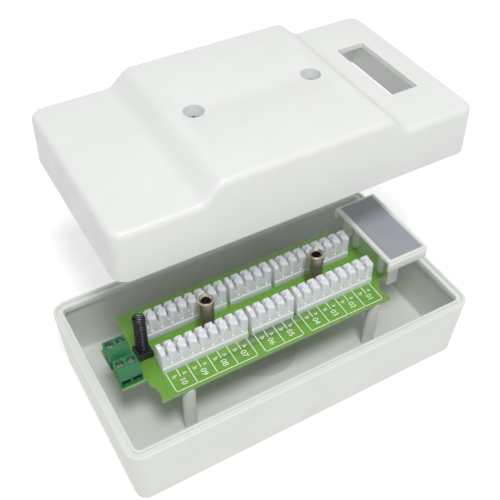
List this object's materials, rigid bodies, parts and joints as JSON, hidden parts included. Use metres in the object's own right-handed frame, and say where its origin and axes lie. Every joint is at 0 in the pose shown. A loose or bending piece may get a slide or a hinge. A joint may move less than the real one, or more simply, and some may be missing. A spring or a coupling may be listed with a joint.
{
  "type": "punch down wiring block",
  "caption": "Surface-mounted distribution box: a moulded tray with toothed insulation-displacement blocks on a circuit board, screw terminals, tamper switch, label holder and a lifted cover.",
  "frame": {"origin": "middle of the tray's back face, which lies on the wall", "axes": "+X along the box towards the label holder, +Y away from the side that the wires enter, +Z out of the wall towards the cover"},
  "size_m": [0.1928, 0.1348, 0.1239],
  "materials": {
    "housing_abs": "fine spark-eroded moulded texture",
    "cover_abs": "smooth satin moulding",
    "board_laminate": "green solder mask over glass-fibre laminate",
    "nickel_brass": "turned and nickel plated",
    "zinc_steel": "zinc plated",
    "terminal_polyamide": "moulded polyamide",
    "tinned_brass": "tin plated",
    "switch_black": "moulded black",
    "spring_black": "black oxide wire",
    "holder_abs": "smooth moulding",
    "label_paper": "plain pale paper",
    "clear_cover": "clear extruded sheet",
    "block_polymer": "white moulded polymer",
    "tinned_contact": "tin plated phosphor bronze",
    "clamp_steel": "zinc plated strip",
    "terminal_screw_steel": "zinc plated"
  },
  "bodies": {
    "base": {"tray": "housing_abs", "circuit_board": "board_laminate", "pillar_left": "nickel_brass", "pillar_right": "nickel_brass", "block_front_left": "block_polymer", "block_front_middle": "block_polymer", "block_front_right": "block_polymer", "block_rear_left": "block_polymer", "block_rear_middle": "block_polymer", "block_rear_right": "block_polymer", "contacts_front_left": "tinned_contact", "contacts_front_middle": "tinned_contact", "contacts_front_right": "tinned_contact", "contacts_rear_left": "tinned_contact", "contacts_rear_middle": "tinned_contact", "contacts_rear_right": "tinned_contact", "terminal_front": "terminal_polyamide", "terminal_rear": "terminal_polyamide", "terminal_pins": "tinned_brass", "switch_body": "switch_black", "switch_plate": "switch_black", "switch_legs": "tinned_brass", "tamper_spring": "spring_black", "label_holder": "holder_abs", "label_sheet": "label_paper", "label_window": "clear_cover"},
    "cover": {"cover": "cover_abs"},
    "cover_screw_left": {"cover_screw_left": "zinc_steel"},
    "cover_screw_right": {"cover_screw_right": "zinc_steel"},
    "screw_front_left": {"screw_front_left": "terminal_screw_steel"},
    "clamp_front_left": {"clamp_front_left": "clamp_steel"},
    "screw_front_right": {"screw_front_right": "terminal_screw_steel"},
    "clamp_front_right": {"clamp_front_right": "clamp_steel"},
    "screw_rear_left": {"screw_rear_left": "terminal_screw_steel"},
    "clamp_rear_left": {"clamp_rear_left": "clamp_steel"},
    "screw_rear_right": {"screw_rear_right": "terminal_screw_steel"},
    "clamp_rear_right": {"clamp_rear_right": "clamp_steel"},
    "switch_plunger": {"switch_plunger": "switch_black"},
    "spring_tip": {"spring_tip": "spring_black"}
  },
  "joints": [
    {"name": "cover_lift", "type": "slide", "parent": "base", "child": "cover", "axis": [0.2513, 0.5703, 0.7821], "range_m": [-0.07077, 0]},
    {"name": "cover_screw_left_drive", "type": "slide", "parent": "cover", "child": "cover_screw_left", "axis": [0, 0, 1], "range_m": [-0.00365, 0]},
    {"name": "cover_screw_right_drive", "type": "slide", "parent": "cover", "child": "cover_screw_right", "axis": [0, 0, 1], "range_m": [-0.00365, 0]},
    {"name": "screw_front_left_turn", "type": "hinge", "parent": "base", "child": "screw_front_left", "pos_m": [-0.07354, -0.0063, 0.0437], "axis": [0, 0, -1], "range_deg": [0, 1080]},
    {"name": "clamp_front_left_rise", "type": "slide", "parent": "base", "child": "clamp_front_left", "axis": [0, 0, 1], "range_m": [0, 0.00135]},
    {"name": "screw_front_right_turn", "type": "hinge", "parent": "base", "child": "screw_front_right", "pos_m": [-0.06846, -0.0063, 0.0437], "axis": [0, 0, -1], "range_deg": [0, 1080]},
    {"name": "clamp_front_right_rise", "type": "slide", "parent": "base", "child": "clamp_front_right", "axis": [0, 0, 1], "range_m": [0, 0.00135]},
    {"name": "screw_rear_left_turn", "type": "hinge", "parent": "base", "child": "screw_rear_left", "pos_m": [-0.07354, 0.0051, 0.0437], "axis": [0, 0, -1], "range_deg": [0, 1080]},
    {"name": "clamp_rear_left_rise", "type": "slide", "parent": "base", "child": "clamp_rear_left", "axis": [0, 0, 1], "range_m": [0, 0.00135]},
    {"name": "screw_rear_right_turn", "type": "hinge", "parent": "base", "child": "screw_rear_right", "pos_m": [-0.06846, 0.0051, 0.0437], "axis": [0, 0, -1], "range_deg": [0, 1080]},
    {"name": "clamp_rear_right_rise", "type": "slide", "parent": "base", "child": "clamp_rear_right", "axis": [0, 0, 1], "range_m": [0, 0.00135]},
    {"name": "switch_press", "type": "slide", "parent": "base", "child": "switch_plunger", "axis": [0, 0, 1], "range_m": [-0.0003, 0]},
    {"name": "tamper_press", "type": "slide", "parent": "base", "child": "spring_tip", "axis": [0, 0, 1], "range_m": [-0.003, 0], "deforming": ["tamper_spring"]}
  ],
  "couplings": [
    {"joint": "screw_front_left_turn", "follows": "clamp_front_left_rise", "rad_per_m": 13963},
    {"joint": "screw_front_right_turn", "follows": "clamp_front_right_rise", "rad_per_m": 13963},
    {"joint": "screw_rear_left_turn", "follows": "clamp_rear_left_rise", "rad_per_m": 13963},
    {"joint": "screw_rear_right_turn", "follows": "clamp_rear_right_rise", "rad_per_m": 13963},
    {"joint": "switch_press", "follows": "cover_lift", "ratio": 0.0035},
    {"joint": "tamper_press", "follows": "cover_lift", "ratio": 0.0368}
  ]
}
